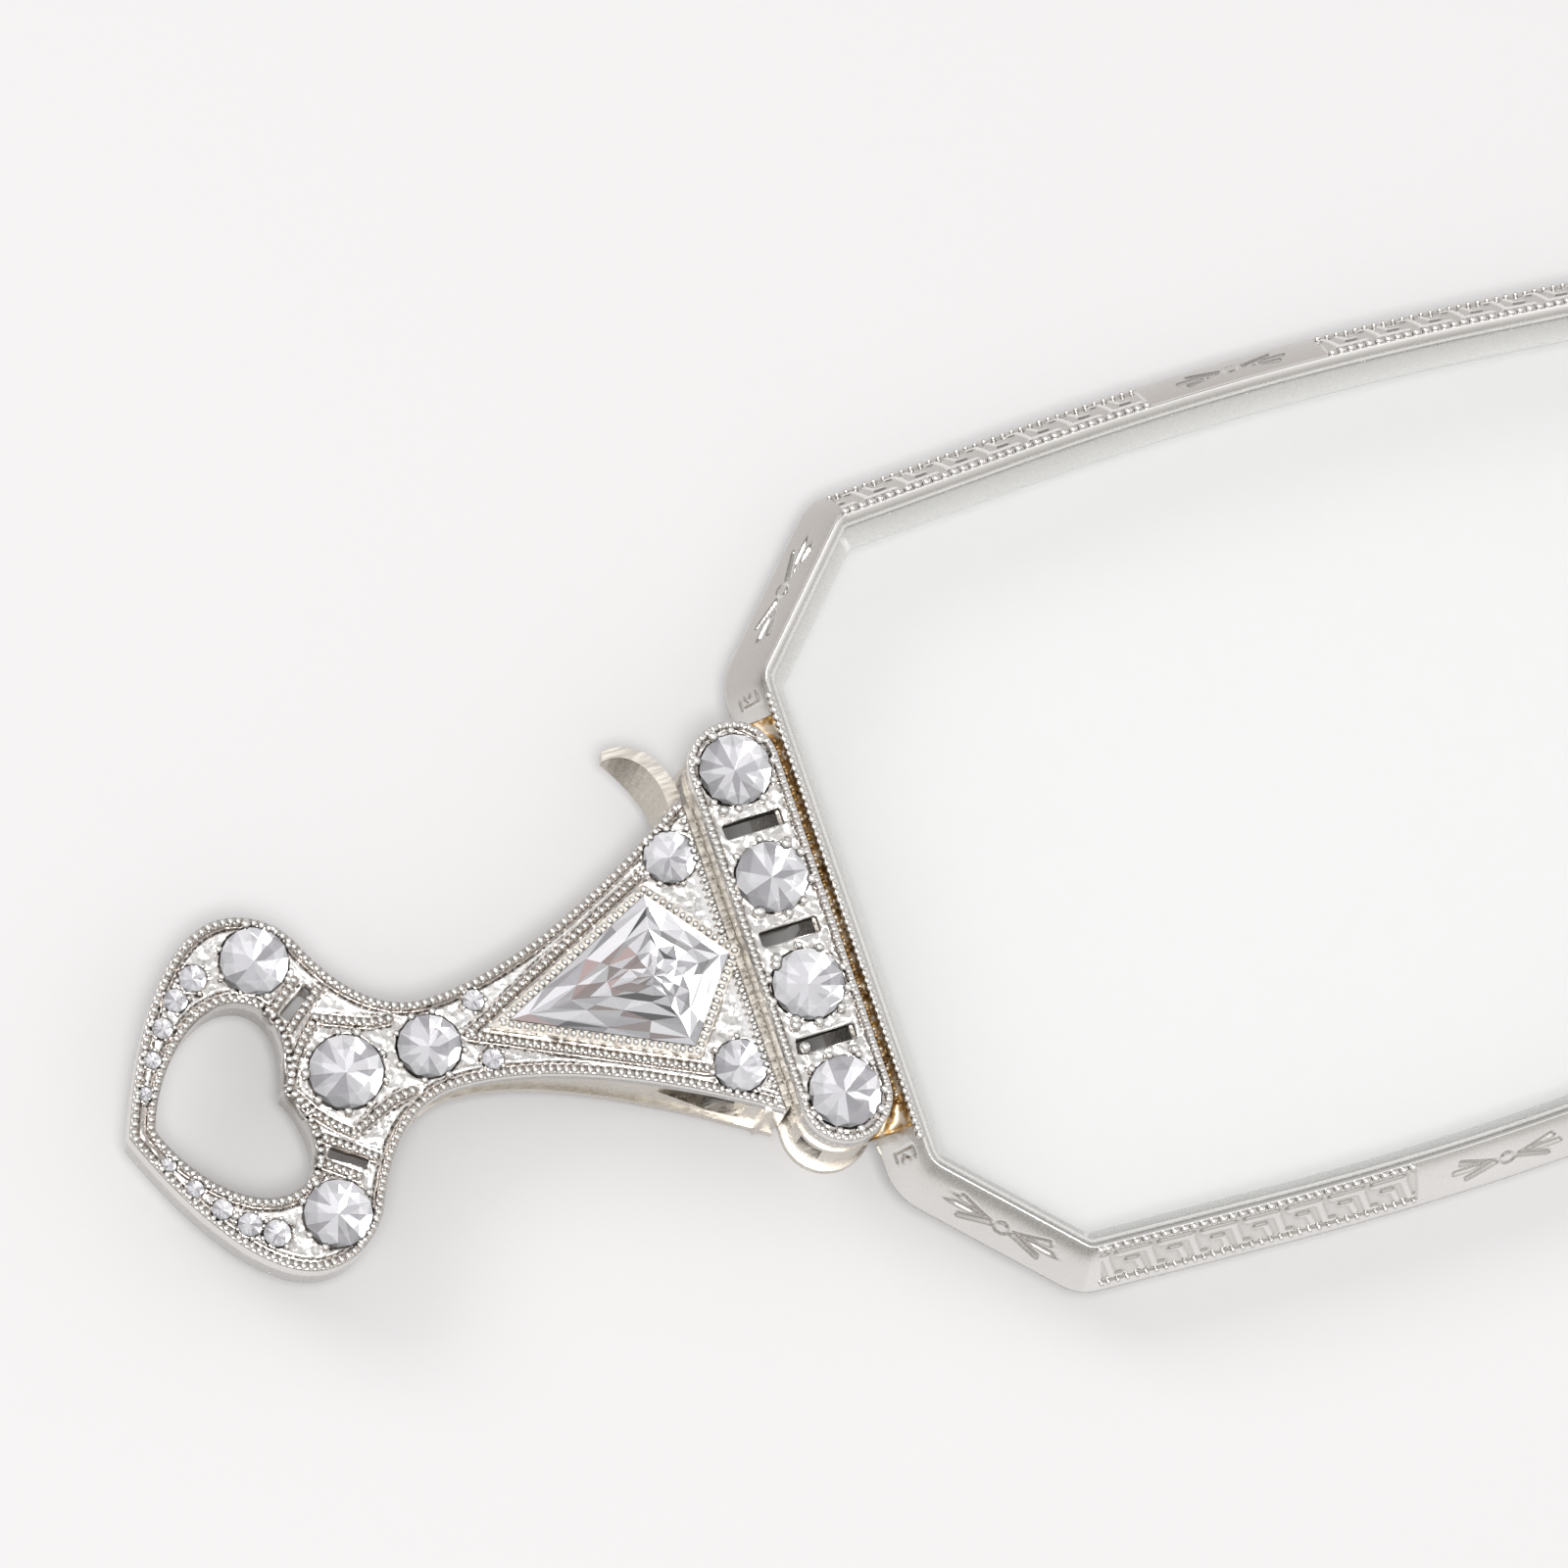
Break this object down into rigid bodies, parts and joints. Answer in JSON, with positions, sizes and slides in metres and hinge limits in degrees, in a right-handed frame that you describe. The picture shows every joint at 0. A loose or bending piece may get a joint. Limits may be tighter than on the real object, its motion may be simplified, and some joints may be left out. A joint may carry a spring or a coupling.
{
  "type": "lorgnette",
  "caption": "Folding lorgnette: octagonal engraved lens frames on a hinged bridge, held by a short flared handle with a heart-shaped loop, diamond-set cross bar and thumb catch.",
  "frame": {"origin": "middle of the open lorgnette's outline, on the plane of the cross bar's foot", "axes": "+X from the heart-shaped loop along the handle and across both lens frames, +Y across the frames towards the side of the bridge and the thumb catch, +Z out of the engraved, stone-set front"},
  "size_m": [0.1134, 0.027, 0.0055],
  "materials": {
    "platinum": "polished, milled and engraved platinum",
    "old_platinum": "darker worn platinum of the side walls",
    "diamond": "faceted diamonds",
    "lens": "clear ground glass",
    "steel": "small steel screws, pins and springs"
  },
  "bodies": {
    "handle": {"heart_loop": "platinum", "heart_diamonds": "diamond", "heart_melee": "diamond", "handle_panel": "platinum", "handle_gallery": "old_platinum", "back_plate": "platinum", "stem_diamonds": "diamond", "stem_melee": "diamond", "kite_bezel": "platinum", "kite_diamond": "diamond", "shoulder_diamonds": "diamond", "bar_plate": "platinum", "bar_gallery": "old_platinum", "bar_diamonds": "diamond", "lever_pivot_screw": "steel", "lever_spring": "steel", "near_rim": "platinum", "near_lens": "lens", "near_rim_screw": "steel", "bridge_near_arm": "platinum", "bridge_pin": "steel", "bridge_spring": "steel"},
    "far_frame": {"bridge_far_arm": "platinum", "far_rim": "platinum", "far_lens": "lens", "far_rim_screw": "steel", "catch_stud": "steel"},
    "catch_lever": {"lever": "platinum"}
  },
  "joints": [
    {"name": "bridge_fold", "type": "hinge", "parent": "handle", "child": "far_frame", "pos_m": [0.0107, 0.0063, 0.00235], "axis": [0, 1, 0], "range_deg": [0, 180], "stiffness_Nm_per_rad": 0.0006, "springref_deg": -114.59},
    {"name": "lever_press", "type": "hinge", "parent": "handle", "child": "catch_lever", "pos_m": [-0.03922, 0.0009, 0.00215], "axis": [0, 0, 1], "range_deg": [0, 8], "stiffness_Nm_per_rad": 0.002, "springref_deg": -5.73}
  ]
}
